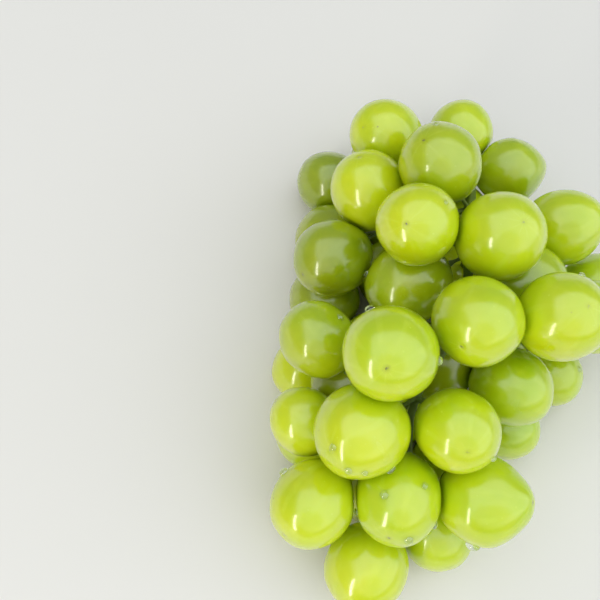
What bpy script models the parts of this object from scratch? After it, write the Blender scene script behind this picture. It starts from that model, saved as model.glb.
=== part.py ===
"""A cut bunch of round green grapes lying on its side: one branching stem and the berries that hang from it.

The main stem runs along Y, from its cut end at +Y to the tip of the bunch at -Y, and the bunch rests on
Z = 0. The origin is the middle of the bunch's footprint. The tables are in whole millimetres and say about
where each joint of the stem and each berry lies. The berries then settle against each other, the stem and
the surface, and where two skins press together, both are flat. Everything that is built is in metres.
"""

import math
from dataclasses import dataclass

import bmesh
import bpy
import numpy as np
from mathutils import Vector

MM = 0.001

# Sizes that set the bunch.
BERRY_WIDTH = 27.0 * MM         # across a usual berry
BERRY_SLENDERNESS = 1.1         # a berry's length over its width
BUNCH_LENGTH = 176.0 * MM       # along the main stem, over the berries
BUNCH_WIDTH = 129.0 * MM        # across the lying bunch
SKIN_PRESS = 1.2 * MM           # how deep two touching berries press into each other, in all
FLOOR_PRESS = 0.8 * MM          # how flat a resting berry sits on the surface
GAP = 0.3 * MM                  # air between two pieces that touch
STEM_CLEARANCE = 0.5 * MM       # least air between the stem and the side of a berry

# Sizes of the stem.
CUT_THICKNESS = 5.2 * MM        # the peduncle at its cut end
TIP_THICKNESS = 2.4 * MM        # the main stem where it ends
SHOOT_THICKNESS = 2.2 * MM      # a side shoot
PEDICEL_THICKNESS = 1.5 * MM    # the stalk of one berry
CUSHION_THICKNESS = 3.2 * MM    # the pad where a stalk meets its berry
CUSHION_LENGTH = 1.4 * MM
KNOT_SWELL = 1.45               # a knot's width over the thickness of the shoot

# The sizes that the tables below are drawn for.
DRAWN_BERRY = 27.0 * MM
DRAWN_LENGTH = 176.0 * MM
DRAWN_WIDTH = 129.0 * MM

# Shares of those sizes.
SHOOT_FLARE = 1.15              # a side shoot where it leaves, over its thickness
STALK_FLARES = (1.3, 1.0, 1.05, 1.6)    # a stalk from its joint to its pad, over its thickness
STALK_NECK = 2.2                # how far the stalk runs straight before its berry, in pad lengths
SETTLED_PRESS = 0.9             # how far the berries may press once settled, in SKIN_PRESS
RESTING_HEIGHT = 0.55 * DRAWN_BERRY     # a berry drawn lower than this rests on the surface

# How the berries settle, and how the stem is eased past them.
SETTLE_ROUNDS = 240
SETTLE_STEP = 0.8               # share of each push that a round makes
SETTLE_PULL = 0.01              # pull of a berry back to its place in the table
EASE_ROUNDS = 40

# How a stalk looks for an open way to its berry.
LEAN_RINGS = 9
LEAN_SPOKES = 12
LEAN_STEP = math.radians(7.0)
LEAN_GUIDE = (0.3, 0.2, 1.0)    # which way the first spoke leans
CROWDED_COST = 1000.0           # turn, in radians, that a metre of missing air is worth

# How finely the shapes are drawn.
BERRY_MERIDIANS = 12
BERRY_PARALLELS = 8
KNOT_MERIDIANS = 8
KNOT_PARALLELS = 6
RACHIS_STEPS = 3                # stretches of tube from one joint to the next
SHOOT_POINTS = 5
RACHIS_ROUNDING = 2             # steps in a quarter of the tube's outline, less one
BRANCH_ROUNDING = 1
SHARP_ANGLE = math.radians(40.0)
SAME_POINT = 1e-6
ON_PLANE = 1e-7

# Joints of the main stem, from the cut end to the tip of the bunch: name, x, y, z.
RACHIS = (
    ("cut", 21, 106, 5),
    ("peduncle", 13, 94, 6),
    ("neck", 5, 86, 9),
    ("shoulder", 2, 71, 19),
    ("top", 12, 57, 29),
    ("upper", 10, 40, 37),
    ("middle", 7, 20, 41),
    ("waist", 4, 2, 43),
    ("lower", -4, -14, 43),
    ("low", -14, -30, 38),
    ("end", -16, -45, 30),
    ("tip", -13, -60, 24),
)

# Forks of the side shoots: name, the joint that the shoot leaves, x, y, z.
FORKS = (
    ("back_fork", "shoulder", -3, 72, 27),
    ("crown_fork", "middle", -6, 28, 48),
    ("left_fork", "upper", -22, 34, 31),
    ("left_back_fork", "left_fork", -30, 58, 28),
    ("right_fork", "upper", 22, 30, 27),
    ("right_side_fork", "right_fork", 38, 20, 28),
    ("left_low_fork", "lower", -34, -4, 32),
    ("right_low_fork", "lower", 22, -8, 36),
    ("left_front_fork", "low", -32, -28, 44),
    ("left_end_fork", "end", -34, -48, 31),
    ("right_end_fork", "low", 8, -38, 30),
)

# Berries by the joint that they hang from: x, y, z of the middle, and how much wider than usual.
BERRIES = (
    ("shoulder", ((-16, 76, 14, 0),)),
    ("back_fork", ((-17, 64, 44, -1), (1, 57, 38, -2))),
    ("top", ((12, 78, 27, -2), (30, 62, 28, -1))),
    ("upper", ((-6, 42, 63, 0), (12, 49, 13, 0))),
    ("crown_fork", ((-15, 19, 66, -1),)),
    ("left_fork", ((-29, 40, 46, 0), (-39, 22, 38, 0), (-40, 39, 13, 0), (-16, 50, 13, 0),
                   (-14, 24, 13, 0))),
    ("left_back_fork", ((-40, 63, 13, -1),)),
    ("right_fork", ((41, 30, 41, 0), (36, 40, 13, 0), (34, 14, 13, 0))),
    ("right_side_fork", ((57, 12, 24, 0),)),
    ("middle", ((11, 16, 64, 1), (-15, 9, 43, 1), (10, 23, 13, 0))),
    ("waist", ((1, -13, 66, 0), (26, 10, 41, 0), (-2, -15, 25, 0))),
    ("lower", ((-27, -26, 71, 0), (18, -26, 37, -1))),
    ("left_low_fork", ((-48, -15, 11, -3), (-41, 15, 13, 0), (-24, -5, 13, 0))),
    ("right_low_fork", ((26, -11, 64, 0), (39, -15, 12, -4), (50, -1, 38, -2), (16, -10, 13, 0))),
    ("left_front_fork", ((-44, -15, 44, -3),)),
    ("low", ((-32, -44, 55, 1), (-5, -43, 53, -2), (-37, -23, 26, -2), (-21, -32, 12, -2))),
    ("left_end_fork", ((-50, -37, 37, -5), (-48, -63, 38, -1), (-47, -60, 13, -2), (-47, -38, 13, -1))),
    ("right_end_fork", ((21, -36, 12, -3), (2, -48, 13, 0))),
    ("end", ((-22, -59, 38, 0), (-24, -54, 13, 0))),
    ("tip", ((-30, -81, 18, 0), (4, -62, 39, 1), (-5, -70, 12, -3))),
)

SKIN_COLOUR = (0.50, 0.66, 0.09, 1.0)
SKIN_ROUGHNESS = 0.2
STEM_COLOUR = (0.36, 0.44, 0.12, 1.0)
STEM_ROUGHNESS = 0.6


@dataclass
class Berry:
    """One grape: its middle, half its width, the way from its stalk to its free end, and its joint."""

    centre: np.ndarray
    half: float
    axis: np.ndarray
    joint: str
    resting: bool

    def reach(self, ways):
        """How far the skin is from the middle, along each of some unit vectors."""
        along = (ways @ self.axis) ** 2
        return self.half / np.sqrt(along / BERRY_SLENDERNESS ** 2 + 1.0 - along)

    def drop(self):
        """How far the lowest point of the skin is below the middle."""
        return self.half * math.sqrt(1.0 + (BERRY_SLENDERNESS ** 2 - 1.0) * self.axis[2] ** 2)


def unit(vector):
    """A vector's direction."""
    return vector / np.linalg.norm(vector)


def place(x, y, z):
    """A table's place in metres, stretched to the bunch's length and width and to its berries."""
    stretch = (BUNCH_WIDTH / DRAWN_WIDTH, BUNCH_LENGTH / DRAWN_LENGTH, BERRY_WIDTH / DRAWN_BERRY)
    return np.array((x, y, z)) * MM * np.array(stretch)


def plan_joints():
    """Each joint's place, and each joint's parent."""
    places = {}
    parents = {}
    previous = None
    for name, x, y, z in RACHIS:
        places[name] = place(x, y, z)
        parents[name] = previous
        previous = name
    for name, parent, x, y, z in FORKS:
        places[name] = place(x, y, z)
        parents[name] = parent
    return places, parents


def plan_berries(places):
    """The berries as the table gives them, each pointing away from its joint."""
    berries = []
    for joint, rows in BERRIES:
        for x, y, z, wider in rows:
            centre = place(x, y, z)
            half = (BERRY_WIDTH + wider * MM) / 2.0
            axis = unit(centre - places[joint])
            resting = z * MM < RESTING_HEIGHT
            berries.append(Berry(centre, half, axis, joint, resting))
    return berries


def crowding(berries):
    """How far every two berries press past each other, and the way from each to each."""
    centres = np.array([berry.centre for berry in berries])
    apart = centres[None, :, :] - centres[:, None, :]
    distances = np.linalg.norm(apart, axis=2) + np.eye(len(berries))
    ways = apart / distances[:, :, None]
    reaches = np.array([berry.reach(way) for berry, way in zip(berries, ways)])
    pressed = reaches + reaches.T - distances
    np.fill_diagonal(pressed, -1.0)
    return pressed, ways


def settle(berries, places, thickness):
    """Pushes the berries apart until they only press lightly, off the stem's joints and onto the surface."""
    starts = [berry.centre.copy() for berry in berries]
    for _ in range(SETTLE_ROUNDS):
        pressed, ways = crowding(berries)
        excess = np.maximum(pressed - SETTLED_PRESS * SKIN_PRESS, 0.0)
        shifts = -0.5 * (excess[:, :, None] * ways).sum(axis=1)
        for berry, shift, start in zip(berries, shifts, starts):
            berry.centre = berry.centre + SETTLE_STEP * shift + SETTLE_PULL * (start - berry.centre)
            for name, joint in places.items():
                apart = berry.centre - joint
                distance = np.linalg.norm(apart)
                way = apart / distance
                room = berry.reach(way) + thickness[name] / 2.0 + 2.0 * STEM_CLEARANCE
                if distance < room:
                    berry.centre = joint + way * room
            height = berry.drop() - FLOOR_PRESS
            if berry.resting or berry.centre[2] < height:
                berry.centre[2] = height


def keep_clear(points, radii, berries, fixed):
    """Eases points of the stem out of the berries. A fixed point stays where it is."""
    for _ in range(EASE_ROUNDS):
        for berry in berries:
            apart = points - berry.centre
            distances = np.linalg.norm(apart, axis=1)
            ways = apart / distances[:, None]
            room = berry.reach(ways) + radii + STEM_CLEARANCE
            inside = (distances < room) & ~fixed
            points[inside] = berry.centre + ways[inside] * room[inside, None]
    return points


def stalk_way(berry, joint, berries):
    """The way from a berry's middle to where its stalk meets it: towards its joint, but in the open."""
    towards = unit(joint - berry.centre)
    side = unit(np.cross(towards, LEAN_GUIDE))
    other = np.cross(towards, side)
    best = None
    for ring in range(LEAN_RINGS):
        lean = LEAN_STEP * ring
        spokes = 1 if ring == 0 else LEAN_SPOKES
        for spoke in range(spokes):
            turn = math.tau * spoke / spokes
            sideways = math.cos(turn) * side + math.sin(turn) * other
            way = math.cos(lean) * towards + math.sin(lean) * sideways
            meets = berry.centre + way * (berry.reach(way) + GAP + CUSHION_LENGTH)
            room = CUSHION_THICKNESS / 2.0 + STEM_CLEARANCE
            air = min(air_at(meets, neighbour) for neighbour in berries if neighbour is not berry)
            cost = lean + CROWDED_COST * max(room - air, 0.0)
            if best is None or cost < best[0]:
                best = (cost, way)
    return best[1]


def air_at(point, berry):
    """How far a point is outside a berry's skin."""
    apart = point - berry.centre
    distance = np.linalg.norm(apart)
    return distance - berry.reach(apart / distance)


def turn_to_stalks(berries, places):
    """Points every berry away from the place where its stalk meets it."""
    for berry in berries:
        berry.axis = -stalk_way(berry, places[berry.joint], berries)


def contact(berry, neighbour, way):
    """The flat between two berries: a point on it, and its normal, which points to the neighbour."""
    distance = np.linalg.norm(neighbour.centre - berry.centre)
    near = berry.reach(way)
    far = neighbour.reach(way)
    point = berry.centre + way * distance * near / (near + far)
    return point, unit(skin_slope(berry, point) - skin_slope(neighbour, point))


def skin_slope(berry, point):
    """The outward slope of a berry's shape at a point, which is square to its skin."""
    apart = point - berry.centre
    along = (apart @ berry.axis) * berry.axis
    return ((apart - along) + along / BERRY_SLENDERNESS ** 2) / berry.half ** 2


def finish(name, colour, roughness):
    """A plain material."""
    material = bpy.data.materials.new(name)
    material.use_nodes = True
    shader = material.node_tree.nodes["Principled BSDF"]
    shader.inputs["Base Color"].default_value = colour
    shader.inputs["Roughness"].default_value = roughness
    shader.inputs["Metallic"].default_value = 0.0
    return material


def build_berry(name, berry, flats, collection):
    """A berry: a slender ball, cut off flat wherever something presses on it."""
    turn = Vector(berry.axis).to_track_quat("Z", "Y")
    back = turn.inverted()
    mesh = bpy.data.meshes.new(name)
    shape = bmesh.new()
    bmesh.ops.create_uvsphere(shape, u_segments=BERRY_MERIDIANS, v_segments=BERRY_PARALLELS,
                              radius=berry.half)
    bmesh.ops.scale(shape, vec=(1.0, 1.0, BERRY_SLENDERNESS), verts=shape.verts)
    for point, normal in flats:
        everything = shape.verts[:] + shape.edges[:] + shape.faces[:]
        where = back @ Vector(point - berry.centre)
        facing = back @ Vector(normal)
        bmesh.ops.bisect_plane(shape, geom=everything, dist=ON_PLANE, plane_co=where, plane_no=facing,
                               clear_outer=True)
        rim = [edge for edge in shape.edges if edge.is_boundary]
        bmesh.ops.holes_fill(shape, edges=rim, sides=0)
    bmesh.ops.recalc_face_normals(shape, faces=shape.faces)
    shape.to_mesh(mesh)
    shape.free()
    mesh.shade_smooth()
    mesh.set_sharp_from_angle(angle=SHARP_ANGLE)
    mesh.materials.append(finish(name + "_skin", SKIN_COLOUR, SKIN_ROUGHNESS))
    grape = bpy.data.objects.new(name, mesh)
    grape.location = berry.centre
    grape.rotation_mode = "QUATERNION"
    grape.rotation_quaternion = turn
    collection.objects.link(grape)
    return grape


def smooth_run(points, steps):
    """Points on a smooth curve through some points, with this many stretches between each two."""
    ends = [2.0 * points[0] - points[1]] + list(points) + [2.0 * points[-1] - points[-2]]
    run = []
    for before, start, stop, after in zip(ends, ends[1:], ends[2:], ends[3:]):
        for step in range(steps):
            t = step / steps
            run.append(0.5 * (2.0 * start + (stop - before) * t
                              + (2.0 * before - 5.0 * start + 4.0 * stop - after) * t ** 2
                              + (3.0 * start - before - 3.0 * stop + after) * t ** 3))
    run.append(points[-1])
    return np.array(run)


def tube(name, points, thicknesses, rounding, collection):
    """A closed tube through some points, with its thickness at each: a filled curve made a mesh."""
    curve = bpy.data.curves.new(name, "CURVE")
    curve.dimensions = "3D"
    curve.bevel_depth = 1.0
    curve.bevel_resolution = rounding
    curve.use_fill_caps = True
    spline = curve.splines.new("POLY")
    spline.points.add(len(points) - 1)
    for spline_point, point, thickness in zip(spline.points, points, thicknesses):
        spline_point.co = (*point, 1.0)
        spline_point.radius = thickness / 2.0
    guide = bpy.data.objects.new(name, curve)
    collection.objects.link(guide)
    bpy.context.view_layer.update()
    evaluated = guide.evaluated_get(bpy.context.evaluated_depsgraph_get())
    mesh = bpy.data.meshes.new_from_object(evaluated)
    shape = bmesh.new()
    shape.from_mesh(mesh)
    bmesh.ops.remove_doubles(shape, verts=shape.verts, dist=SAME_POINT)
    bmesh.ops.recalc_face_normals(shape, faces=shape.faces)
    shape.to_mesh(mesh)
    shape.free()
    bpy.data.objects.remove(guide)
    solid = bpy.data.objects.new(name, mesh)
    collection.objects.link(solid)
    return solid


def knot(name, where, width, collection):
    """The swelling where a shoot forks."""
    mesh = bpy.data.meshes.new(name)
    shape = bmesh.new()
    bmesh.ops.create_uvsphere(shape, u_segments=KNOT_MERIDIANS, v_segments=KNOT_PARALLELS,
                              radius=width / 2.0)
    shape.to_mesh(mesh)
    shape.free()
    ball = bpy.data.objects.new(name, mesh)
    ball.location = where
    collection.objects.link(ball)
    return ball


def joint_thicknesses():
    """How thick the stem is at each joint."""
    thickness = {}
    last = len(RACHIS) - 1
    for number, row in enumerate(RACHIS):
        thickness[row[0]] = CUT_THICKNESS + (TIP_THICKNESS - CUT_THICKNESS) * number / last
    for row in FORKS:
        thickness[row[0]] = SHOOT_THICKNESS
    return thickness


def rachis_tube(places, thickness, berries, collection):
    """The main stem from its cut end to its tip."""
    names = [row[0] for row in RACHIS]
    points = smooth_run([places[name] for name in names], RACHIS_STEPS)
    where = np.linspace(0.0, len(names) - 1.0, len(points))
    thicknesses = np.interp(where, range(len(names)), [thickness[name] for name in names])
    fixed = np.zeros(len(points), bool)
    fixed[::RACHIS_STEPS] = True
    points = keep_clear(points, thicknesses / 2.0, berries, fixed)
    return tube("stem", points, thicknesses, RACHIS_ROUNDING, collection)


def shoot_tube(name, places, parents, berries, collection):
    """One side shoot, from the joint that it leaves to its fork."""
    start = places[parents[name]]
    stop = places[name]
    points = np.linspace(start, stop, SHOOT_POINTS)
    widths = np.linspace(SHOOT_FLARE, 1.0, SHOOT_POINTS) * SHOOT_THICKNESS
    fixed = np.zeros(SHOOT_POINTS, bool)
    fixed[[0, -1]] = True
    points = keep_clear(points, widths / 2.0, berries, fixed)
    return tube(name, points, widths, BRANCH_ROUNDING, collection)


def pedicel_tube(number, berry, places, berries, collection):
    """One berry's stalk, from its joint to the pad against its skin."""
    joint = places[berry.joint]
    outward = -berry.axis
    skin = berry.reach(outward)
    meets = berry.centre + outward * (skin + GAP)
    pad = berry.centre + outward * (skin + GAP + CUSHION_LENGTH)
    neck = berry.centre + outward * (skin + GAP + STALK_NECK * CUSHION_LENGTH)
    middle = (joint + neck) / 2.0
    points = np.array((joint, middle, neck, pad, meets))
    widths = np.append(np.array(STALK_FLARES) * PEDICEL_THICKNESS, CUSHION_THICKNESS)
    fixed = np.array((True, False, True, True, True))
    points = keep_clear(points, widths / 2.0, berries, fixed)
    return tube(f"pedicel_{number:02d}", points, widths, BRANCH_ROUNDING, collection)


def join_stem(stem, branches):
    """Joins every shoot, knot and stalk to the main stem, as one closed body."""
    union = stem.modifiers.new("branches", "BOOLEAN")
    union.operation = "UNION"
    union.solver = "EXACT"
    union.operand_type = "COLLECTION"
    union.collection = branches
    bpy.context.view_layer.update()
    evaluated = stem.evaluated_get(bpy.context.evaluated_depsgraph_get())
    joined = bpy.data.meshes.new_from_object(evaluated)
    stem.modifiers.clear()
    stem.data = joined
    for branch in list(branches.objects):
        bpy.data.objects.remove(branch)
    bpy.data.collections.remove(branches)


def sit_on_origin(pieces):
    """Moves the whole bunch so that the middle of its footprint is the origin."""
    bpy.context.view_layer.update()
    corners = np.array([piece.matrix_world @ vertex.co for piece in pieces for vertex in piece.data.vertices])
    middle = (corners.min(axis=0) + corners.max(axis=0)) / 2.0
    for piece in pieces:
        piece.location.x -= middle[0]
        piece.location.y -= middle[1]


def main():
    """Builds the bunch."""
    for item in list(bpy.data.objects):
        bpy.data.objects.remove(item)
    bunch = bpy.data.collections.new("grape_bunch")
    branches = bpy.data.collections.new("stem_branches")
    bpy.context.scene.collection.children.link(bunch)
    bpy.context.scene.collection.children.link(branches)

    places, parents = plan_joints()
    thickness = joint_thicknesses()
    berries = plan_berries(places)
    settle(berries, places, thickness)
    turn_to_stalks(berries, places)
    settle(berries, places, thickness)

    stem = rachis_tube(places, thickness, berries, bunch)
    for row in FORKS:
        shoot_tube(row[0], places, parents, berries, branches)
    for name in [row[0] for row in FORKS] + ["tip"]:
        knot(name + "_knot", places[name], KNOT_SWELL * thickness[name], branches)
    for number, berry in enumerate(berries, 1):
        pedicel_tube(number, berry, places, berries, branches)
    join_stem(stem, branches)
    stem.data.materials.clear()
    stem.data.materials.append(finish("stem_wood", STEM_COLOUR, STEM_ROUGHNESS))

    pressed, ways = crowding(berries)
    floor = (np.zeros(3), np.array((0.0, 0.0, -1.0)))
    for number, berry in enumerate(berries):
        flats = [floor]
        for other, neighbour in enumerate(berries):
            if pressed[number, other] > -GAP:
                point, normal = contact(berry, neighbour, ways[number, other])
                flats.append((point - normal * GAP / 2.0, normal))
        build_berry(f"berry_{number + 1:02d}", berry, flats, bunch)
    sit_on_origin(list(bunch.objects))


main()
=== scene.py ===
"""The looks of a cut bunch of green grapes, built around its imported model.

Every berry of the model becomes a fine, slightly uneven grape with a pressed flat where it meets its
neighbours, a scar at its free end and a raised ring at its stalk. The stem becomes a knotty green stalk.
A few beads of water lie on the skins.
"""

from __future__ import annotations

import logging
import math
from dataclasses import dataclass, field
from enum import Enum

import bmesh
import bpy
import numpy as np
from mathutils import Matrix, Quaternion, Vector, noise


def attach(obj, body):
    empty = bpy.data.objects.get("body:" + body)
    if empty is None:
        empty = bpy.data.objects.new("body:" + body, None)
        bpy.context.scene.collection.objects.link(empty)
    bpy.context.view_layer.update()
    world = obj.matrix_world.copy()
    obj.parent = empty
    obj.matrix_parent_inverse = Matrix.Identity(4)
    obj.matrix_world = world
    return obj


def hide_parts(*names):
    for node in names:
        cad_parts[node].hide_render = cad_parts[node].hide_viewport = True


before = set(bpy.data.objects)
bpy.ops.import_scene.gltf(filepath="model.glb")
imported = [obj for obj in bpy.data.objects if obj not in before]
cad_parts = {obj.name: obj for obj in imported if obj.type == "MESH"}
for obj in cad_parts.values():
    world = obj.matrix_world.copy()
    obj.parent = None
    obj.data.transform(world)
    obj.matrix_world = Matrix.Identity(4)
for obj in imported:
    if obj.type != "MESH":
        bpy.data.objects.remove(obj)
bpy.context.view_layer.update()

LOG = logging.getLogger("grapes")
MM = 0.001
PAINTED_GLOW_SIDE = np.array((-0.62, -0.70, 0.35))   # the way that each berry's side with painted glow faces: yellower there, as if light shone through the berry


class Ripeness(Enum):
    """How far a berry has turned from green to gold."""

    GREEN = 0.36
    USUAL = 0.46
    GOLDEN = 0.57


# ---------------------------------------------------------------------------------------------------------
# Shader building blocks
# ---------------------------------------------------------------------------------------------------------


class Nodes:
    """A small hand for wiring up a node tree."""

    def __init__(self, tree: bpy.types.NodeTree) -> None:
        """Keeps the tree.

        Args:
            tree: The material's or group's tree.
        """
        self.tree = tree

    def add(self, kind: str, **settings: object) -> bpy.types.Node:
        """Adds a node.

        Args:
            kind: The node's type.
            **settings: Its properties.

        Returns:
            The node.
        """
        node = self.tree.nodes.new(kind)
        for name, value in settings.items():
            setattr(node, name, value)
        return node

    def link(self, source: bpy.types.NodeSocket, target: bpy.types.NodeSocket) -> None:
        """Joins two sockets."""
        self.tree.links.new(source, target)

    def feed(self, target: bpy.types.NodeSocket, value: object) -> None:
        """Gives a socket a value or a link.

        Args:
            target: The socket.
            value: A socket to link, or a plain value.
        """
        if isinstance(value, bpy.types.NodeSocket):
            self.link(value, target)
        else:
            target.default_value = value

    def math(self, operation: str, *values: object, clamp: bool = False) -> bpy.types.NodeSocket:
        """A sum on numbers.

        Args:
            operation: The sum's name.
            *values: Its numbers, each a socket or a plain value.
            clamp: Whether the answer stays from 0 to 1.

        Returns:
            The answer's socket.
        """
        node = self.add("ShaderNodeMath", operation=operation, use_clamp=clamp)
        for socket, value in zip(node.inputs, values):
            self.feed(socket, value)
        return node.outputs[0]

    def ramp(self, value: object, low: float, high: float, start: float, stop: float) -> bpy.types.NodeSocket:
        """A smooth step of a value.

        Args:
            value: What is stepped.
            low: Where the step begins.
            high: Where it ends.
            start: The answer up to low.
            stop: The answer from high.

        Returns:
            The answer's socket.
        """
        node = self.add("ShaderNodeMapRange", interpolation_type="SMOOTHSTEP")
        for name, number in zip(("From Min", "From Max", "To Min", "To Max"), (low, high, start, stop)):
            node.inputs[name].default_value = number
        self.feed(node.inputs["Value"], value)
        return node.outputs["Result"]

    def swing(self, value: object, amount: object) -> bpy.types.NodeSocket:
        """A value from 0 to 1, turned into one that swings either way around nothing.

        Args:
            value: The value.
            amount: The whole width of the swing.

        Returns:
            The answer's socket.
        """
        return self.math("MULTIPLY", self.math("SUBTRACT", value, 0.5), amount)

    def mark(self, name: str, output: str = "Fac") -> bpy.types.NodeSocket:
        """What is written on the corners of a mesh under a name.

        Args:
            name: The name.
            output: Whether it is read as a number or as a vector.

        Returns:
            Its socket.
        """
        return self.add("ShaderNodeAttribute", attribute_name=name).outputs[output]

    def blend(self, share: object, first: object, second: object) -> bpy.types.NodeSocket:
        """A mix of two colours.

        Args:
            share: How much of the second there is.
            first: The first colour.
            second: The second colour.

        Returns:
            The colour's socket.
        """
        node = self.add("ShaderNodeMix", data_type="RGBA", blend_type="MIX")
        self.feed(node.inputs["Factor"], share)
        self.feed(node.inputs["A"], first)
        self.feed(node.inputs["B"], second)
        return node.outputs["Result"]

    def cloud(self, vector: object, scale: object, detail: float = 3.0,
              uneven: float = 0.0) -> bpy.types.NodeSocket:
        """A soft noise from 0 to 1.

        Args:
            vector: Where it is read.
            scale: How many features there are to a metre.
            detail: How many finer layers it has.
            uneven: How far it is warped.

        Returns:
            The noise's socket.
        """
        node = self.add("ShaderNodeTexNoise")
        self.feed(node.inputs["Vector"], vector)
        self.feed(node.inputs["Scale"], scale)
        node.inputs["Detail"].default_value = detail
        node.inputs["Distortion"].default_value = uneven
        return node.outputs["Fac"]


def group_shell(name: str, inputs: dict[str, tuple[str, object]],
                outputs: dict[str, str]) -> tuple[Nodes, dict]:
    """An empty shader group with named sockets.

    Args:
        name: The group's name.
        inputs: Each input's socket type and usual value.
        outputs: Each output's socket type.

    Returns:
        The hand for its tree, and its inner sockets by name.
    """
    tree = bpy.data.node_groups.new(name, "ShaderNodeTree")
    for label, (kind, value) in inputs.items():
        socket = tree.interface.new_socket(label, in_out="INPUT", socket_type=kind)
        if value is not None:
            socket.default_value = value
    for label, kind in outputs.items():
        tree.interface.new_socket(label, in_out="OUTPUT", socket_type=kind)
    nodes = Nodes(tree)
    start = nodes.add("NodeGroupInput")
    stop = nodes.add("NodeGroupOutput")
    inner = {label: start.outputs[label] for label in inputs}
    inner.update({"out " + label: stop.inputs[label] for label in outputs})
    return nodes, inner


def mottle_group() -> bpy.types.NodeTree:
    """Two colours that drift into each other in clouds, with a finer grain over them.

    Returns:
        The group.
    """
    nodes, inner = group_shell(
        "Mottle",
        {
            "Vector": ("NodeSocketVector", None),
            "Scale": ("NodeSocketFloat", 60.0),
            "Share": ("NodeSocketFloat", 0.5),
            "Contrast": ("NodeSocketFloat", 1.0),
            "First": ("NodeSocketColor", (0.5, 0.5, 0.5, 1.0)),
            "Second": ("NodeSocketColor", (0.5, 0.5, 0.5, 1.0)),
        },
        {"Color": "NodeSocketColor", "Mask": "NodeSocketFloat"},
    )
    broad = nodes.cloud(inner["Vector"], inner["Scale"], 2.0, 0.4)
    fine = nodes.cloud(inner["Vector"], nodes.math("MULTIPLY", inner["Scale"], 6.0), 3.0)
    wave = nodes.math("ADD", nodes.math("MULTIPLY", broad, 0.8), nodes.math("MULTIPLY", fine, 0.2))
    mask = nodes.math("ADD", inner["Share"], nodes.swing(wave, inner["Contrast"]), clamp=True)
    nodes.link(nodes.blend(mask, inner["First"], inner["Second"]), inner["out Color"])
    nodes.link(mask, inner["out Mask"])
    return nodes.tree


def freckle_group() -> bpy.types.NodeTree:
    """Small round specks, some cells of a pattern having one and others none.

    Returns:
        The group.
    """
    nodes, inner = group_shell(
        "Freckles",
        {
            "Vector": ("NodeSocketVector", None),
            "Scale": ("NodeSocketFloat", 400.0),
            "Size": ("NodeSocketFloat", 0.2),
            "Share": ("NodeSocketFloat", 0.5),
        },
        {"Mask": "NodeSocketFloat"},
    )
    cells = nodes.add("ShaderNodeTexVoronoi")
    nodes.link(inner["Vector"], cells.inputs["Vector"])
    nodes.link(inner["Scale"], cells.inputs["Scale"])
    split = nodes.add("ShaderNodeSeparateColor")
    nodes.link(cells.outputs["Color"], split.inputs["Color"])
    there = nodes.math("LESS_THAN", split.outputs["Red"], inner["Share"])
    width = nodes.math("MULTIPLY", inner["Size"], nodes.math("ADD", split.outputs["Green"], 0.5))
    depth = nodes.math("SUBTRACT", 1.0, nodes.math("DIVIDE", cells.outputs["Distance"], width), clamp=True)
    soft = nodes.ramp(depth, 0.0, 0.6, 0.0, 1.0)
    nodes.link(nodes.math("MULTIPLY", soft, there), inner["out Mask"])
    return nodes.tree


MOTTLE = mottle_group()
FRECKLES = freckle_group()


def use_group(nodes: Nodes, group: bpy.types.NodeTree, **values: object) -> bpy.types.Node:
    """Places a shader group.

    Args:
        nodes: The hand of the tree that it goes in.
        group: The group.
        **values: Its inputs, each a socket or a plain value.

    Returns:
        The group's node.
    """
    node = nodes.add("ShaderNodeGroup", node_tree=group)
    for name, value in values.items():
        nodes.feed(node.inputs[name], value)
    return node


def new_material(name: str) -> tuple[bpy.types.Material, Nodes, bpy.types.Node]:
    """A material with a shader and an output.

    Args:
        name: Its name.

    Returns:
        The material, the hand for its tree, and its shader.
    """
    material = bpy.data.materials.new(name)
    material.use_nodes = True
    nodes = Nodes(material.node_tree)
    return material, nodes, material.node_tree.nodes["Principled BSDF"]


def paint(mesh: bpy.types.Mesh, name: str, values: np.ndarray) -> None:
    """Writes a number on each corner of a mesh, for its material to read.

    Args:
        mesh: The mesh.
        name: The name that it is read by.
        values: The numbers.
    """
    mark = mesh.attributes.new(name, "FLOAT", "POINT")
    mark.data.foreach_set("value", values.astype(np.float32))


# ---------------------------------------------------------------------------------------------------------
# Finishes
# ---------------------------------------------------------------------------------------------------------


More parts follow.
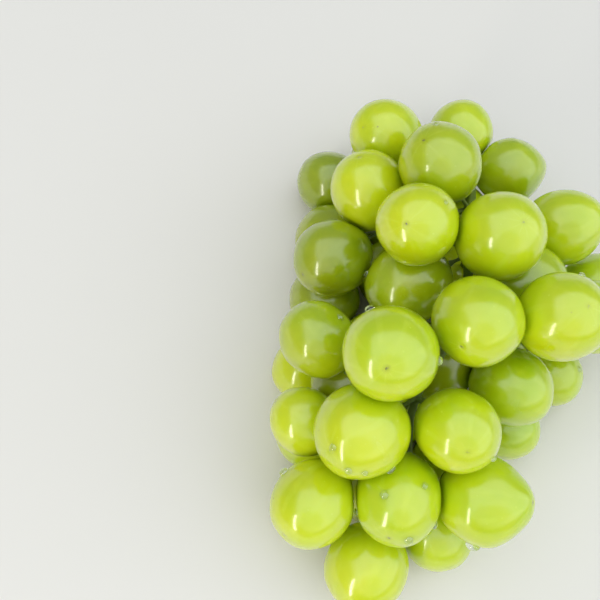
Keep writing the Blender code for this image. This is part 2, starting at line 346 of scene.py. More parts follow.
@dataclass(frozen=True)
class GrapeSkin:
    """The thin glossy skin of a green grape, with the pale flesh glowing through it."""

    green: tuple[float, float, float, float] = (0.33, 0.56, 0.002, 1.0)
    gold: tuple[float, float, float, float] = (0.72, 0.74, 0.002, 1.0)
    bloom: tuple[float, float, float, float] = (0.72, 0.84, 0.09, 1.0)
    scar: tuple[float, float, float, float] = (0.07, 0.055, 0.012, 1.0)
    scuff: tuple[float, float, float, float] = (0.26, 0.22, 0.02, 1.0)
    body_contrast: float = 0.7
    vein_strength: float = 0.17
    vein_count: float = 9.0
    vein_sway: float = 2.2
    haze_share: float = 0.12
    haze_contrast: float = 0.6
    haze_strength: float = 0.44
    pore_size: float = 0.16
    pore_share: float = 0.35
    pore_strength: float = 0.3
    scuff_size: float = 0.045
    scuff_share: float = 0.09
    scuff_strength: float = 0.7
    collar_strength: float = 0.45
    scar_radius: float = 0.36 * MM
    scar_fray: float = 1.6 * MM
    halo_radius: float = 1.7 * MM
    halo_strength: float = 0.22
    gloss: float = 0.16
    wax_swing: float = 0.16
    scar_dullness: float = 0.4
    peel_strength: float = 0.12
    peel_depth: float = 0.12 * MM
    index: float = 1.5
    coat: float = 0.85
    coat_swing: float = 0.55
    coat_gloss: float = 0.13
    coat_index: float = 1.6
    glow: float = 0.85
    glow_depth: float = 4.0 * MM
    glow_colours: tuple[float, float, float] = (0.9, 1.0, 0.12)

    def material(self) -> bpy.types.Material:
        """Makes the material. A berry's own place has its Z axis from the stalk to the scar.

        Returns:
            The material.
        """
        material, nodes, shader = new_material("grape_skin")
        place = nodes.mark("place", "Vector")
        moved = nodes.add("ShaderNodeVectorMath", operation="ADD")
        nodes.link(place, moved.inputs[0])
        nodes.link(nodes.mark("drift", "Vector"), moved.inputs[1])
        own = moved.outputs["Vector"]
        parts = nodes.add("ShaderNodeSeparateXYZ")
        nodes.link(place, parts.inputs["Vector"])
        pores = use_group(nodes, FRECKLES, Vector=own, Scale=520.0, Size=self.pore_size,
                          Share=self.pore_share)
        scar, halo = self.end_marks(nodes, own, parts)

        colour = self.flesh(nodes, own, parts)
        for mask, strength, tint in (
            (pores.outputs["Mask"], self.pore_strength, self.bloom),
            (use_group(nodes, FRECKLES, Vector=own, Scale=105.0, Size=self.scuff_size,
                       Share=self.scuff_share).outputs["Mask"], self.scuff_strength, self.scuff),
            (nodes.mark("collar"), self.collar_strength, self.bloom),
            (halo, self.halo_strength, self.scuff),
            (scar, 1.0, self.scar),
        ):
            colour = nodes.blend(nodes.math("MULTIPLY", mask, strength), colour, tint)
        # Painted shade: the shade mark darkens some berries all over, as if a shadow fell on them from beside
        # the bunch.
        painted_shade_node = nodes.add("ShaderNodeHueSaturation")
        nodes.link(colour, painted_shade_node.inputs["Color"])
        nodes.link(nodes.mark("shade"), painted_shade_node.inputs["Value"])
        nodes.link(painted_shade_node.outputs["Color"], shader.inputs["Base Color"])

        wax = nodes.math("MULTIPLY", nodes.cloud(own, 90.0, 4.0, 0.5), self.wax_swing)
        dull = nodes.math("ADD", self.gloss, wax)
        dull = nodes.math("ADD", dull, nodes.math("MULTIPLY", scar, self.scar_dullness), clamp=True)
        nodes.link(dull, shader.inputs["Roughness"])
        peel = nodes.math("MULTIPLY", nodes.cloud(own, 900.0, 2.0), 0.5)
        bump = nodes.add("ShaderNodeBump")
        bump.inputs["Strength"].default_value = self.peel_strength
        bump.inputs["Distance"].default_value = self.peel_depth
        pits = nodes.math("MULTIPLY", pores.outputs["Mask"], 0.5)
        nodes.link(nodes.math("SUBTRACT", peel, pits), bump.inputs["Height"])
        nodes.link(bump.outputs["Normal"], shader.inputs["Normal"])
        wet = nodes.swing(nodes.cloud(own, 130.0, 3.0, 0.7), self.coat_swing)
        nodes.link(nodes.math("ADD", self.coat, wet, clamp=True), shader.inputs["Coat Weight"])
        for name, value in (
            ("Subsurface Weight", self.glow),
            ("Subsurface Radius", self.glow_colours),
            ("Subsurface Scale", self.glow_depth),
            ("Coat Roughness", self.coat_gloss),
            ("Coat IOR", self.coat_index),
            ("IOR", self.index),
        ):
            shader.inputs[name].default_value = value
        return material

    def flesh(self, nodes: Nodes, own: bpy.types.NodeSocket,
              parts: bpy.types.Node) -> bpy.types.NodeSocket:
        """The colour from green to gold, with pale veins and haze. The gold share carries painted glow on one
        side of each berry.

        Args:
            nodes: The hand of the material's tree.
            own: The berry's own place.
            parts: The node that splits the place.

        Returns:
            The colour.
        """
        # The ripeness mark sets the gold share: each berry's own ripeness, plus painted glow on one side.
        body = use_group(nodes, MOTTLE, Vector=own, Scale=55.0, Share=nodes.mark("ripeness"),
                         Contrast=self.body_contrast, First=self.green, Second=self.gold)
        streaks = nodes.math("MULTIPLY", self.veins(nodes, own, parts), self.vein_strength)
        colour = nodes.blend(streaks, body.outputs["Color"], self.bloom)
        haze = use_group(nodes, MOTTLE, Vector=own, Scale=150.0, Share=self.haze_share,
                         Contrast=self.haze_contrast)
        hazy = nodes.math("MULTIPLY", haze.outputs["Mask"], self.haze_strength)
        return nodes.blend(hazy, colour, self.bloom)

    def end_marks(self, nodes: Nodes, own: bpy.types.NodeSocket,
                  parts: bpy.types.Node) -> tuple[bpy.types.NodeSocket, bpy.types.NodeSocket]:
        """The ragged scar at the free end, and the faint brown halo around it.

        Args:
            nodes: The hand of the material's tree.
            own: The berry's own place.
            parts: The node that splits the place.

        Returns:
            How strong the scar is, and the halo.
        """
        flat = nodes.add("ShaderNodeCombineXYZ")
        nodes.link(parts.outputs["X"], flat.inputs["X"])
        nodes.link(parts.outputs["Y"], flat.inputs["Y"])
        off_axis = nodes.add("ShaderNodeVectorMath", operation="LENGTH")
        nodes.link(flat.outputs["Vector"], off_axis.inputs[0])
        ragged = nodes.swing(nodes.cloud(own, 1500.0, 2.0), self.scar_fray)
        edge = nodes.math("ADD", off_axis.outputs["Value"], ragged)
        free_end = nodes.math("GREATER_THAN", parts.outputs["Z"], 0.0)
        shown = nodes.math("MULTIPLY", free_end, nodes.mark("marked"))
        scar = nodes.ramp(edge, 0.6 * self.scar_radius, 1.3 * self.scar_radius, 1.0, 0.0)
        halo = nodes.ramp(edge, self.scar_radius, self.halo_radius, 1.0, 0.0)
        return nodes.math("MULTIPLY", scar, shown), nodes.math("MULTIPLY", halo, shown)

    def veins(self, nodes: Nodes, own: bpy.types.NodeSocket, parts: bpy.types.Node) -> bpy.types.NodeSocket:
        """Faint pale lines that run from the stalk to the free end.

        Args:
            nodes: The hand of the material's tree.
            own: The berry's own place.
            parts: The node that splits the place.

        Returns:
            How strong the lines are.
        """
        turn = nodes.math("ARCTAN2", parts.outputs["Y"], parts.outputs["X"])
        sway = nodes.math("MULTIPLY", nodes.cloud(own, 130.0, 2.0), self.vein_sway)
        wave = nodes.math("SINE", nodes.math("ADD", nodes.math("MULTIPLY", turn, self.vein_count), sway))
        line = nodes.ramp(wave, 0.55, 1.0, 0.0, 1.0)
        broken = nodes.ramp(nodes.cloud(own, 220.0, 2.0), 0.35, 0.65, 0.0, 1.0)
        return nodes.math("MULTIPLY", line, broken)


@dataclass(frozen=True)
class StemBark:
    """Green woody stalk, browner at its knots and dry and brown at its cut end."""

    green: tuple[float, float, float, float] = (0.09, 0.145, 0.012, 1.0)
    pale: tuple[float, float, float, float] = (0.17, 0.23, 0.03, 1.0)
    brown: tuple[float, float, float, float] = (0.10, 0.055, 0.022, 1.0)
    wood: tuple[float, float, float, float] = (0.42, 0.33, 0.19, 1.0)
    dry_edges: tuple[float, float] = (0.62, 1.25)
    wart_strength: float = 0.6
    roughness: float = 0.5
    dry_roughness: float = 0.25
    bump_strength: float = 0.6
    bump_depth: float = 0.25 * MM

    def material(self) -> bpy.types.Material:
        """Makes the material.

        Returns:
            The material.
        """
        material, nodes, shader = new_material("stem_bark")
        place = nodes.add("ShaderNodeTexCoord").outputs["Object"]
        body = use_group(nodes, MOTTLE, Vector=place, Scale=120.0, Share=0.4, Contrast=1.4,
                         First=self.green, Second=self.pale)
        dry = nodes.math("ADD", nodes.mark("dryness"), nodes.cloud(place, 260.0, 4.0, 0.6))
        patches = nodes.ramp(dry, *self.dry_edges, 0.0, 1.0)
        colour = nodes.blend(patches, body.outputs["Color"], self.brown)
        warts = use_group(nodes, FRECKLES, Vector=place, Scale=900.0, Size=0.3, Share=0.3)
        darkened = nodes.math("MULTIPLY", warts.outputs["Mask"], self.wart_strength)
        colour = nodes.blend(darkened, colour, self.brown)
        colour = nodes.blend(nodes.mark("cut"), colour, self.wood)
        nodes.link(colour, shader.inputs["Base Color"])
        rough = nodes.math("ADD", self.roughness, nodes.math("MULTIPLY", patches, self.dry_roughness))
        nodes.link(rough, shader.inputs["Roughness"])
        grain = nodes.cloud(place, 700.0, 4.0, 0.8)
        bump = nodes.add("ShaderNodeBump")
        bump.inputs["Strength"].default_value = self.bump_strength
        bump.inputs["Distance"].default_value = self.bump_depth
        nodes.link(nodes.math("ADD", grain, warts.outputs["Mask"]), bump.inputs["Height"])
        nodes.link(bump.outputs["Normal"], shader.inputs["Normal"])
        shader.inputs["Subsurface Weight"].default_value = 0.15
        shader.inputs["Subsurface Radius"].default_value = (0.8, 1.0, 0.3)
        shader.inputs["Subsurface Scale"].default_value = 1.0 * MM
        return material


@dataclass(frozen=True)
class Water:
    """Clear beads of water, with a stronger glint than real water so that small ones can be seen."""

    tint: tuple[float, float, float, float] = (0.97, 1.0, 0.94, 1.0)
    cloudy: tuple[float, float, float, float] = (0.90, 0.97, 0.85, 1.0)
    gloss: float = 0.02
    index: float = 1.333
    glint_index: float = 1.9

    def material(self) -> bpy.types.Material:
        """Makes the material.

        Returns:
            The material.
        """
        material, nodes, shader = new_material("water")
        place = nodes.add("ShaderNodeTexCoord").outputs["Object"]
        clouds = use_group(nodes, MOTTLE, Vector=place, Scale=400.0, Share=0.1, Contrast=0.3,
                           First=self.tint, Second=self.cloudy)
        nodes.link(clouds.outputs["Color"], shader.inputs["Base Color"])
        shader.inputs["Roughness"].default_value = self.gloss
        shader.inputs["Transmission Weight"].default_value = 1.0
        shader.inputs["IOR"].default_value = self.index
        shader.inputs["Coat Weight"].default_value = 1.0
        shader.inputs["Coat Roughness"].default_value = self.gloss
        shader.inputs["Coat IOR"].default_value = self.glint_index
        return material


@dataclass(frozen=True)
class TableTop:
    """The plain pale surface that the bunch lies on."""

    colour: tuple[float, float, float, float] = (0.72, 0.70, 0.66, 1.0)
    unevenness: float = 1.03
    roughness: float = 0.6

    def material(self) -> bpy.types.Material:
        """Makes the material.

        Returns:
            The material.
        """
        material, nodes, shader = new_material("table_top")
        place = nodes.add("ShaderNodeTexCoord").outputs["Object"]
        lighter = tuple(min(1.0, part * self.unevenness) for part in self.colour)
        body = use_group(nodes, MOTTLE, Vector=place, Scale=9.0, Share=0.5, Contrast=1.0,
                         First=self.colour, Second=lighter)
        nodes.link(body.outputs["Color"], shader.inputs["Base Color"])
        shader.inputs["Roughness"].default_value = self.roughness
        return material


# ---------------------------------------------------------------------------------------------------------
# The berries
# ---------------------------------------------------------------------------------------------------------


@dataclass
class Spheroid:
    """The plain shape of one berry: its middle, its long axis, and half its width and length."""

    middle: np.ndarray
    axis: np.ndarray
    half_width: float
    half_length: float

    @classmethod
    def fit(cls, corners: np.ndarray) -> Spheroid:
        """Finds the shape that a faceted berry was cut from, leaving out the corners of its pressed flats.

        Args:
            corners: The berry's corners.

        Returns:
            The shape.
        """
        start = corners.mean(axis=0)
        size = np.abs(corners - start).max()
        x, y, z = ((corners - start) / size).T
        terms = np.stack((x * x, y * y, z * z, 2 * x * y, 2 * x * z, 2 * y * z, x, y, z), axis=1)
        kept = np.ones(len(corners), bool)
        for most_inside in (0.2, 0.1, 0.05, 0.02, 0.01, 0.004, 0.002, 0.001, 0.001, 0.001):
            answer = np.linalg.lstsq(terms[kept], np.ones(kept.sum()), rcond=None)[0]
            inside = 1.0 - terms @ answer
            kept = inside < most_inside
        bend = np.array(((answer[0], answer[3], answer[4]), (answer[3], answer[1], answer[5]),
                         (answer[4], answer[5], answer[2])))
        middle = -0.5 * np.linalg.solve(bend, answer[6:])
        values, ways = np.linalg.eigh(bend / (1.0 + middle @ bend @ middle))
        half_length, *halves = size / np.sqrt(values)
        return cls(start + middle * size, ways[:, 0], float(np.mean(halves)), float(half_length))

    def reach(self, ways: np.ndarray) -> np.ndarray:
        """How far the skin is from the middle.

        Args:
            ways: Unit vectors.

        Returns:
            The distance along each.
        """
        along = (ways @ self.axis) ** 2
        return 1.0 / np.sqrt(along / self.half_length ** 2 + (1.0 - along) / self.half_width ** 2)

    def slope(self, point: np.ndarray) -> np.ndarray:
        """The way that is square to the shape at a point."""
        apart = point - self.middle
        along = (apart @ self.axis) * self.axis
        return (apart - along) / self.half_width ** 2 + along / self.half_length ** 2


@dataclass
class Flat:
    """A flat that something presses into a berry: a point on it, and the way out of the berry."""

    point: np.ndarray
    normal: np.ndarray


@dataclass
class Grape:
    """One berry: its plain shape, what presses on it, and what makes it unlike the others, painted shade
    among them.
    """

    name: str
    shape: Spheroid
    number: int
    ripeness: Ripeness
    end: np.ndarray
    taper: float = 0.0
    marked: float = 1.0
    # Painted shade: below 1 the whole berry is darker, as if in a shadow from beside the bunch.
    shade: float = 1.0
    flats: list[Flat] = field(default_factory=list)

    MERIDIANS = 60
    RINGS = (0.8, 1.6, 2.5, 3.5, 4.7, 6.2, 8.2, 10.8, 14.0, 18.0, 22.5)
    RING_STEP = 5.0
    LUMP = 0.38 * MM
    RIPPLE = 0.07 * MM
    LOBE = 0.10 * MM
    FLAT_ROUNDING = 1.6 * MM
    SCAR_DEPTH = 0.22 * MM
    SCAR_WIDTH = 0.9 * MM
    END_HOLLOW = 0.42 * MM
    END_WIDTH = 5.5 * MM
    BUTTON = 0.16 * MM
    BUTTON_WIDTH = 0.32 * MM
    STALK_RING = 0.30 * MM
    STALK_WIDTH = 1.8 * MM
    SHOULDER_DIP = 0.35 * MM
    SHOULDER_WIDTH = 4.2 * MM
    COLLAR_WIDTH = 3.2 * MM
    # Painted glow: how much yellower each berry is on the side that faces the glow side, as if light shone
    # through it.
    PAINTED_GLOW_GOLD = 0.14
    OWN_GOLD = 0.05
    DRIFT = (0.37, 0.61, 0.23)      # how far the next berry's pattern is, so that no two are alike
    TAPER_BEND = 1.3
    LUMP_FINENESS = 1.3
    RIPPLE_FINENESS = 3.6

    def angles(self) -> np.ndarray:
        """The rings' angles from the free end, closest near both ends.

        Returns:
            The angles, in radians.
        """
        near = list(self.RINGS)
        middle = np.linspace(near[-1], 180.0 - near[-1], round((180.0 - 2 * near[-1]) / self.RING_STEP) + 1)
        far = [180.0 - angle for angle in reversed(near)]
        return np.radians(np.array(near + list(middle[1:-1]) + far))

    def turn(self) -> np.ndarray:
        """The berry's own axes as rows, the last towards its free end."""
        quaternion = Vector(self.end).to_track_quat("Z", "Y")
        return np.array(quaternion.to_matrix()).T

    def surface(self, ways: np.ndarray) -> np.ndarray:
        """The skin's points, as the berry grew and was pressed.

        Args:
            ways: Unit vectors in the berry's own axes.

        Returns:
            The points, in the berry's own axes.
        """
        axes = self.turn()
        points = ways * self.shape.reach(ways @ axes)[:, None]
        towards_end = np.clip(points[:, 2] / self.shape.half_length, -1.0, 1.0)
        slimmer = 1.0 - self.taper * np.maximum(towards_end, 0.0) ** self.TAPER_BEND
        points[:, :2] *= slimmer[:, None]
        across = np.linalg.norm(points[:, :2], axis=1)
        turn = np.arctan2(ways[:, 1], ways[:, 0])
        grown = self.LOBE * np.cos(3.0 * turn + self.number) * (1.0 - ways[:, 2] ** 2)
        seed = Vector((self.number * 1.7, self.number * 0.9, self.number * 2.3))
        for height, fineness in ((self.LUMP, self.LUMP_FINENESS), (self.RIPPLE, self.RIPPLE_FINENESS)):
            grown += height * np.array([noise.noise(Vector(way) * fineness + seed) for way in ways])
        scar = self.BUTTON * self.spot(across, self.BUTTON_WIDTH)
        scar -= self.SCAR_DEPTH * self.spot(across, self.SCAR_WIDTH)
        scar -= self.END_HOLLOW * self.spot(across, self.END_WIDTH)
        grown += np.where(ways[:, 2] > 0.0, scar, 0.0)
        from_stalk = self.off_stalk(points)
        grown += self.STALK_RING * self.spot(from_stalk, self.STALK_WIDTH)
        grown -= self.SHOULDER_DIP * self.spot(from_stalk, self.SHOULDER_WIDTH)
        reaches = np.linalg.norm(points, axis=1)
        ways = points / reaches[:, None]
        reaches = reaches + grown
        for flat in self.flats:
            normal = axes @ flat.normal
            depth = (flat.point - self.shape.middle) @ flat.normal
            facing = np.maximum(ways @ normal, 1e-6)
            limit = depth / facing
            overlap = np.maximum(self.FLAT_ROUNDING - np.abs(reaches - limit), 0.0) / self.FLAT_ROUNDING
            reaches = np.minimum(reaches, limit) - overlap ** 2 * self.FLAT_ROUNDING / 4.0
        return ways * reaches[:, None]

    @staticmethod
    def spot(away: np.ndarray, width: float) -> np.ndarray:
        """A soft round spot: 1 at its middle, and next to nothing at twice its width."""
        return np.exp(-((away / width) ** 2))

    def off_stalk(self, points: np.ndarray) -> np.ndarray:
        """How far points are from where the stalk meets the berry.

        Args:
            points: The points, in the berry's own axes.

        Returns:
            The distances.
        """
        foot = self.turn() @ self.shape.axis * -self.shape.half_length
        return np.linalg.norm(points - foot, axis=1)

    def build(self) -> bpy.types.Object:
        """Makes the berry.

        Returns:
            The berry's object, with its origin at the berry's middle.
        """
        turns = np.linspace(0.0, math.tau, self.MERIDIANS, endpoint=False)
        rings = self.angles()
        ways = [(0.0, 0.0, 1.0)]
        for ring in rings:
            wide, high = math.sin(ring), math.cos(ring)
            ways += [(wide * math.cos(t), wide * math.sin(t), high) for t in turns]
        ways.append((0.0, 0.0, -1.0))
        places = self.surface(np.array(ways))
        count = self.MERIDIANS
        last = len(ways) - 1
        faces = [(0, 1 + t, 1 + (t + 1) % count) for t in range(count)]
        for ring in range(len(rings) - 1):
            upper = 1 + ring * count
            lower = upper + count
            faces += [(upper + t, lower + t, lower + (t + 1) % count, upper + (t + 1) % count)
                      for t in range(count)]
        upper = last - count
        faces += [(upper + t, last, upper + (t + 1) % count) for t in range(count)]
        mesh = bpy.data.meshes.new(self.name + "_grown")
        mesh.from_pydata((places @ self.turn()).tolist(), [], faces)
        mesh.shade_smooth()
        own = mesh.attributes.new("place", "FLOAT_VECTOR", "POINT")
        own.data.foreach_set("vector", places.astype(np.float32).ravel())
        paint(mesh, "collar", self.spot(self.off_stalk(places), self.COLLAR_WIDTH))
        berry = bpy.data.objects.new(self.name + "_grown", mesh)
        berry.location = self.shape.middle
        bpy.context.scene.collection.objects.link(berry)
        return berry

    def dress(self, berry: bpy.types.Object, skin: bpy.types.Material) -> None:
        """Gives the berry its skin, with its painted glow and painted shade, and its place in the bunch.

        Args:
            berry: The berry's object.
            skin: The skin.
        """
        mesh = berry.data
        count = len(mesh.vertices)
        normals = np.empty(count * 3, np.float32)
        mesh.vertex_normals.foreach_get("vector", normals)
        # Painted glow: the ripeness mark is raised where the skin faces one side, a yellow glow as if light
        # shone through the berry, on top of its own ripeness.
        painted_glow = normals.reshape(-1, 3) @ PAINTED_GLOW_SIDE
        own = self.ripeness.value + self.OWN_GOLD * math.sin(7.0 * self.number) + self.PAINTED_GLOW_GOLD * painted_glow
        paint(mesh, "ripeness", own)
        paint(mesh, "marked", np.full(count, self.marked))
        # Painted shade, the same all over the berry.
        paint(mesh, "shade", np.full(count, self.shade))
        drift = mesh.attributes.new("drift", "FLOAT_VECTOR", "POINT")
        drift.data.foreach_set("vector", tuple(part * self.number for part in self.DRIFT) * count)
        mesh.materials.append(skin)
        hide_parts(self.name)
        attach(berry, "root")


@dataclass
class Cluster:
    """All the berries, which press on each other and on the table."""

    air: float = 0.06 * MM
    seed: int = 11
    usual_taper: float = 0.05
    scar_range: tuple[float, float] = (0.25, 1.0)
    tapers: tuple[tuple[str, float], ...] = (("05", 0.30), ("48", 0.26), ("15", 0.12), ("26", 0.10))
    ends: tuple[tuple[str, tuple[float, float, float]], ...] = (
        ("22", (-0.5, -0.7, 0.5)),
        ("25", (-0.2, -0.5, 0.8)),
        ("36", (0.0, -0.6, 0.8)),
    )
    golden: tuple[str, ...] = ("08", "09", "27", "35", "39", "40", "47")
    green: tuple[str, ...] = ("05", "10", "11", "14", "18", "20", "23", "26", "28", "43", "45")
    # Painted shade: these berries are darkened all over, as if a neighbouring bunch cast its shadow on them.
    painted_shades: tuple[tuple[float, tuple[str, ...]], ...] = (
        (0.62, ("10", "11", "14", "24", "28", "37")),
        (0.82, ("05", "06", "20", "23", "34")),
    )

    def plan(self, pads: np.ndarray) -> list[Grape]:
        """Reads the berries from the frame.

        Args:
            pads: Points of the stem, of which the closest to a berry is at its stalk end.

        Returns:
            The berries.
        """
        rng = np.random.default_rng(self.seed)
        grapes = []
        names = sorted(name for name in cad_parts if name.startswith("berry_"))
        for number, name in enumerate(names, 1):
            corners = np.array([vertex.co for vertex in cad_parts[name].data.vertices])
            shape = Spheroid.fit(corners)
            apart = pads - shape.middle
            outside = np.linalg.norm(apart, axis=1)
            outside = outside - shape.reach(apart / outside[:, None])
            if apart[outside.argmin()] @ shape.axis > 0.0:
                shape.axis = -shape.axis
            row = name[-2:]
            taper = dict(self.tapers).get(row, self.usual_taper * rng.random())
            end = np.array(dict(self.ends).get(row, shape.axis))
            end = end / np.linalg.norm(end)
            marked = rng.uniform(*self.scar_range)
            shade = next((value for value, rows in self.painted_shades if row in rows), 1.0)
            grapes.append(Grape(name, shape, number, self.ripeness(row), end, taper, marked, shade))
        self.press(grapes)
        return grapes

    def ripeness(self, row: str) -> Ripeness:
        """How ripe a berry is.

        Args:
            row: The berry's number.

        Returns:
            Its ripeness.
        """
        if row in self.golden:
            return Ripeness.GOLDEN
        return Ripeness.GREEN if row in self.green else Ripeness.USUAL

    def press(self, grapes: list[Grape]) -> None:
        """Finds the flats where the berries meet each other and the table.

        Args:
            grapes: The berries.
        """
        for grape in grapes:
            grape.flats.append(Flat(np.array((0.0, 0.0, self.air)), np.array((0.0, 0.0, -1.0))))
            for other in grapes:
                if other is grape:
                    continue
                apart = other.shape.middle - grape.shape.middle
                distance = np.linalg.norm(apart)
                way = apart / distance
                near = grape.shape.reach(way)
                far = other.shape.reach(way)
                if near + far < distance - 2.0 * grape.FLAT_ROUNDING:
                    continue
                point = grape.shape.middle + way * distance * near / (near + far)
                normal = grape.shape.slope(point) - other.shape.slope(point)
                normal = normal / np.linalg.norm(normal)
                grape.flats.append(Flat(point - normal * self.air, normal))

    def build(self, pads: np.ndarray, skin: bpy.types.Material) -> list[Grape]:
        """Builds and dresses every berry.

        Args:
            pads: Points of the stem.
            skin: The skin.

        Returns:
            The berries.
        """
        grapes = self.plan(pads)
        for grape in grapes:
            grape.dress(grape.build(), skin)
            LOG.info("%s: %.1f mm wide, %s, %d flats", grape.name, 2000.0 * grape.shape.half_width,
                     grape.ripeness.name.lower(), len(grape.flats))
        return grapes


@dataclass(frozen=True)
class Bead:
    """One bead of water: the berry that it sits on, the way it faces, and its width."""

    row: str
    way: tuple[float, float, float]
    width: float


@dataclass
class Dew:
    """The beads of water left on the washed berries."""

    beads: tuple[Bead, ...] = (
        Bead("34", (0.6, 0.4, 0.7), 2.7 * MM),
        Bead("25", (-0.4, 0.8, 0.3), 3.0 * MM),
        Bead("25", (0.9, -0.2, 0.2), 2.6 * MM),
        Bead("35", (0.6, -0.8, -0.1), 3.0 * MM),
        Bead("35", (-0.6, -0.4, 0.7), 2.2 * MM),
        Bead("35", (-0.3, -0.8, 0.5), 2.4 * MM),
        Bead("35", (0.0, -0.9, 0.5), 2.0 * MM),
        Bead("45", (-0.4, 0.0, 0.9), 2.8 * MM),
        Bead("45", (0.5, 0.2, 0.9), 2.2 * MM),
        Bead("45", (0.1, -0.8, 0.5), 2.8 * MM),
        Bead("45", (0.8, -0.6, 0.0), 2.6 * MM),
        Bead("45", (-0.9, -0.3, 0.0), 2.4 * MM),
        Bead("40", (-0.7, 0.7, 0.2), 3.2 * MM),
        Bead("48", (-0.3, -0.9, -0.2), 4.6 * MM),
        Bead("31", (0.6, 0.0, 0.7), 2.2 * MM),
        Bead("20", (-0.9, 0.2, 0.1), 2.6 * MM),
        Bead("36", (0.6, -0.6, 0.3), 2.0 * MM),
        Bead("06", (-0.2, 0.5, 0.8), 1.9 * MM),
        Bead("08", (0.5, 0.1, 0.9), 1.6 * MM),
        Bead("30", (0.3, 0.7, 0.6), 2.0 * MM),
    )
    dome: float = 0.78
    sunk: float = 0.22
    sag: float = 0.30

    def build(self, grapes: list[Grape], water: bpy.types.Material) -> None:
        """Makes all the beads, as one piece.

        Args:
            grapes: The berries.
            water: The water.
        """
        shape = bmesh.new()
        by_row = {grape.name[-2:]: grape for grape in grapes}
        for bead in self.beads:
            grape = by_row[bead.row]
            way = Vector(bead.way).normalized()
            axes = grape.turn()
            own = grape.surface(np.array([axes @ np.array(way)]))[0]
            place = grape.shape.middle + own @ axes
            self.add_bead(shape, Vector(place), way, bead.width / 2.0)
        mesh = bpy.data.meshes.new("water_beads")
        shape.to_mesh(mesh)
        shape.free()
        mesh.shade_smooth()
        mesh.materials.append(water)
        beads = bpy.data.objects.new("water_beads", mesh)
        bpy.context.scene.collection.objects.link(beads)
        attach(beads, "root")
        LOG.info("water: %d beads", len(self.beads))

    def add_bead(self, shape: bmesh.types.BMesh, place: Vector, way: Vector, half: float) -> None:
        """Adds one bead, domed outward, nearly flat against the skin, and sagging downhill.

        Args:
            shape: The mesh that it is added to.
            place: Where it sits.
            way: The way out of the skin.
            half: Half its width.
        """
        ball = bmesh.ops.create_icosphere(shape, subdivisions=3, radius=1.0)
        downhill = Vector((0.0, 0.0, -1.0)) - way * -way.z
        for corner in ball["verts"]:
            point = corner.co.copy()
            height = point.dot(way)
            across = point - way * height
            raised = self.dome * max(height, 0.0) + self.sunk * min(height, 0.0)
            sagged = downhill * self.sag * max(height, 0.0) ** 2
            corner.co = place + half * (across + way * raised + sagged)


# ---------------------------------------------------------------------------------------------------------
# The stem
# ---------------------------------------------------------------------------------------------------------


@dataclass
class Stem:
    """The branching stalk, grown knotty around the plain one of the frame."""

    grain: float = 0.38 * MM
    wart: float = 0.16 * MM
    ridge: float = 0.10 * MM
    cut_length: float = 1.0 * MM
    dry_length: float = 30.0 * MM
    dryness: float = 0.6
    wart_scale: float = 900.0
    wart_level: float = 0.15
    ridge_scale: float = 420.0
    cut_facing: float = 0.55

    @staticmethod
    def corners() -> np.ndarray:
        """The plain stem's corners."""
        return np.array([vertex.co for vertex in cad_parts["stem"].data.vertices])

    def build(self) -> bpy.types.Object:
        """Makes the stem: even, fine faces over the plain one, softened, then roughened.

        Returns:
            The stem's object.
        """
        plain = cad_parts["stem"].data.copy()
        stem = bpy.data.objects.new("stem_grown", plain)
        bpy.context.scene.collection.objects.link(stem)
        even = stem.modifiers.new("even", "REMESH")
        even.mode = "VOXEL"
        even.voxel_size = self.grain
        soft = stem.modifiers.new("soft", "SMOOTH")
        soft.factor = 0.5
        soft.iterations = 3
        evaluated = stem.evaluated_get(bpy.context.evaluated_depsgraph_get())
        grown = bpy.data.meshes.new_from_object(evaluated)
        stem.modifiers.clear()
        stem.data = grown
        self.roughen(grown)
        grown.shade_smooth()
        return stem

    def roughen(self, mesh: bpy.types.Mesh) -> None:
        """Raises warts and fine ridges on the bark, and marks the dry and the cut parts.

        Args:
            mesh: The stem's mesh.
        """
        count = len(mesh.vertices)
        places = np.empty(count * 3, np.float32)
        normals = np.empty(count * 3, np.float32)
        mesh.vertices.foreach_get("co", places)
        mesh.vertex_normals.foreach_get("vector", normals)
        places = places.reshape(-1, 3)
        normals = normals.reshape(-1, 3)
        warts = np.array([max(noise.noise(Vector(place) * self.wart_scale) - self.wart_level, 0.0)
                          for place in places])
        ridges = np.array([noise.noise(Vector(place) * self.ridge_scale) for place in places])
        raised = self.wart * warts + self.ridge * ridges
        end = places[:, 1].max()
        cut = np.clip((places[:, 1] - end + self.cut_length) / (0.4 * self.cut_length), 0.0, 1.0)
        cut *= normals[:, 1] > self.cut_facing
        dry = np.clip(1.0 - (end - places[:, 1]) / self.dry_length, 0.0, 1.0) * self.dryness
        places = places + normals * raised[:, None]
        mesh.vertices.foreach_set("co", places.astype(np.float32).ravel())
        paint(mesh, "dryness", dry)
        paint(mesh, "cut", cut)

    @staticmethod
    def dress(stem: bpy.types.Object, bark: bpy.types.Material) -> None:
        """Gives the stem its bark and its place in the bunch.

        Args:
            stem: The stem's object.
            bark: The bark.
        """
        stem.data.materials.clear()
        stem.data.materials.append(bark)
        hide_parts("stem")
        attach(stem, "root")
        LOG.info("stem: %d faces", len(stem.data.polygons))


# ---------------------------------------------------------------------------------------------------------
# The setting
# ---------------------------------------------------------------------------------------------------------


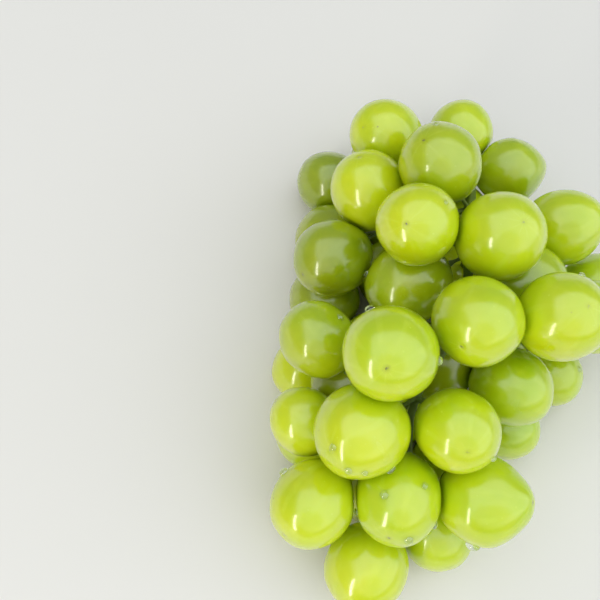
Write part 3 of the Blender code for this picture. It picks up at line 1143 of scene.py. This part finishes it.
@dataclass
class Card:
    """One soft light: where it hangs, how big it is, and its strength and colour."""

    name: str
    place: tuple[float, float, float]
    width: float
    height: float
    power: float
    colour: tuple[float, float, float]
    turn: float

    def hang(self) -> None:
        """Hangs the light, facing the bunch."""
        data = bpy.data.lights.new(self.name, "AREA")
        data.shape = "RECTANGLE"
        data.size = self.width
        data.size_y = self.height
        data.energy = self.power
        data.color = self.colour
        light = bpy.data.objects.new(self.name, data)
        light.location = self.place
        facing = (-Vector(self.place)).to_track_quat("-Z", "Y")
        light.rotation_euler = (facing @ Quaternion((0.0, 0.0, 1.0), self.turn)).to_euler()
        light.visible_camera = False
        bpy.context.scene.collection.objects.link(light)


@dataclass(frozen=True)
class Screen:
    """A dark wall of the studio, past which its soft sky doesn't reach: the side where the sky is."""

    open_side: tuple[float, float, float]
    hard_edge: float
    soft_edge: float


@dataclass
class Studio:
    """The plain table, the soft sky over it, the lamp and the camera."""

    table_size: float = 6.0
    camera_place: tuple[float, float, float] = (-0.0578, -0.0797, 0.249)
    camera_tilt: float = 20.33
    lens: float = 39.0
    sky: tuple[float, float, float, float] = (0.90, 0.95, 1.0, 1.0)
    sky_strength: float = 1.55
    dim: tuple[float, float, float, float] = (0.98, 0.96, 0.90, 1.0)
    dim_strength: float = 0.30
    backdrop: tuple[float, float, float, float] = (0.80, 0.80, 0.79, 1.0)
    sky_waver: float = 0.22
    waver_scale: float = 2.2
    sitter: tuple[float, float, float] = (0.0, -0.72, 0.69)
    sitter_reach: tuple[float, float] = (0.83, 0.93)
    sitter_dark: float = 0.5
    screens: tuple[Screen, ...] = (
        Screen((0.66, 0.00, 0.75), -0.06, 0.22),
        Screen((0.00, -0.77, 0.64), -0.12, 0.10),
        Screen((0.00, 0.28, 0.96), -0.14, 0.12),
    )
    cards: tuple[Card, ...] = (
        Card("left_lamp", (-0.64, -0.68, 0.38), 0.09, 0.72, 2.5, (1.0, 0.95, 0.84), 0.5),
    )

    def build(self) -> None:
        """Sets up everything around the bunch."""
        mesh = bpy.data.meshes.new("table")
        half = self.table_size / 2.0
        mesh.from_pydata([(-half, -half, 0.0), (half, -half, 0.0), (half, half, 0.0), (-half, half, 0.0)], [],
                         [(0, 1, 2, 3)])
        mesh.materials.append(TableTop().material())
        table = bpy.data.objects.new("table", mesh)
        bpy.context.scene.collection.objects.link(table)
        for card in self.cards:
            card.hang()
        self.light_the_air()
        self.set_camera()

    def light_the_air(self) -> None:
        """A broad soft sky with dim walls on three sides, and the plain rendering of colours.

        The camera itself sees a plain backdrop in place of the sky.
        """
        world = bpy.data.worlds.new("air")
        world.use_nodes = True
        nodes = Nodes(world.node_tree)
        way = nodes.add("ShaderNodeTexCoord").outputs["Generated"]
        waver = nodes.swing(nodes.cloud(way, self.waver_scale, 2.0), self.sky_waver)
        opened = 1.0
        for screen in self.screens:
            past = nodes.math("ADD", self.facing(nodes, way, screen.open_side), waver)
            light = nodes.ramp(past, screen.hard_edge, screen.soft_edge, 0.0, 1.0)
            opened = nodes.math("MULTIPLY", opened, light)
        near = nodes.math("ADD", self.facing(nodes, way, self.sitter), nodes.math("MULTIPLY", waver, 0.5))
        light = nodes.ramp(near, *self.sitter_reach, 1.0, 1.0 - self.sitter_dark)
        opened = nodes.math("MULTIPLY", opened, light)
        colour = nodes.blend(opened, self.dim, self.sky)
        span = self.sky_strength - self.dim_strength
        strength = nodes.math("ADD", self.dim_strength, nodes.math("MULTIPLY", opened, span))
        seen = nodes.add("ShaderNodeLightPath").outputs["Is Camera Ray"]
        background = world.node_tree.nodes["Background"]
        nodes.link(nodes.blend(seen, colour, self.backdrop), background.inputs["Color"])
        kept = nodes.math("MULTIPLY", strength, nodes.math("SUBTRACT", 1.0, seen))
        nodes.link(nodes.math("ADD", kept, seen), background.inputs["Strength"])
        scene = bpy.context.scene
        scene.world = world
        scene.view_settings.view_transform = "Standard"

    @staticmethod
    def facing(nodes: Nodes, way: bpy.types.NodeSocket,
               side: tuple[float, float, float]) -> bpy.types.NodeSocket:
        """How far a way faces a side.

        Args:
            nodes: The hand of the sky's tree.
            way: The way.
            side: The side.

        Returns:
            1 towards the side, and -1 away from it.
        """
        node = nodes.add("ShaderNodeVectorMath", operation="DOT_PRODUCT")
        nodes.link(way, node.inputs[0])
        node.inputs[1].default_value = side
        return node.outputs["Value"]

    def set_camera(self) -> None:
        """Puts the camera over the near end of the bunch, looking steeply down along it."""
        data = bpy.data.cameras.new("camera")
        data.lens = self.lens
        data.sensor_width = 36.0
        data.clip_start = 0.01
        camera = bpy.data.objects.new("camera", data)
        camera.location = self.camera_place
        camera.rotation_euler = (math.radians(self.camera_tilt), 0.0, 0.0)
        bpy.context.scene.collection.objects.link(camera)
        bpy.context.scene.camera = camera


def main() -> None:
    """Builds the stem, the berries and their setting."""
    logging.basicConfig(level=logging.INFO, format="%(name)s: %(message)s", force=True)
    stem = Stem()
    stem.dress(stem.build(), StemBark().material())
    grapes = Cluster().build(stem.corners(), GrapeSkin().material())
    Dew().build(grapes, Water().material())
    Studio().build()


if __name__ == "__main__":
    main()
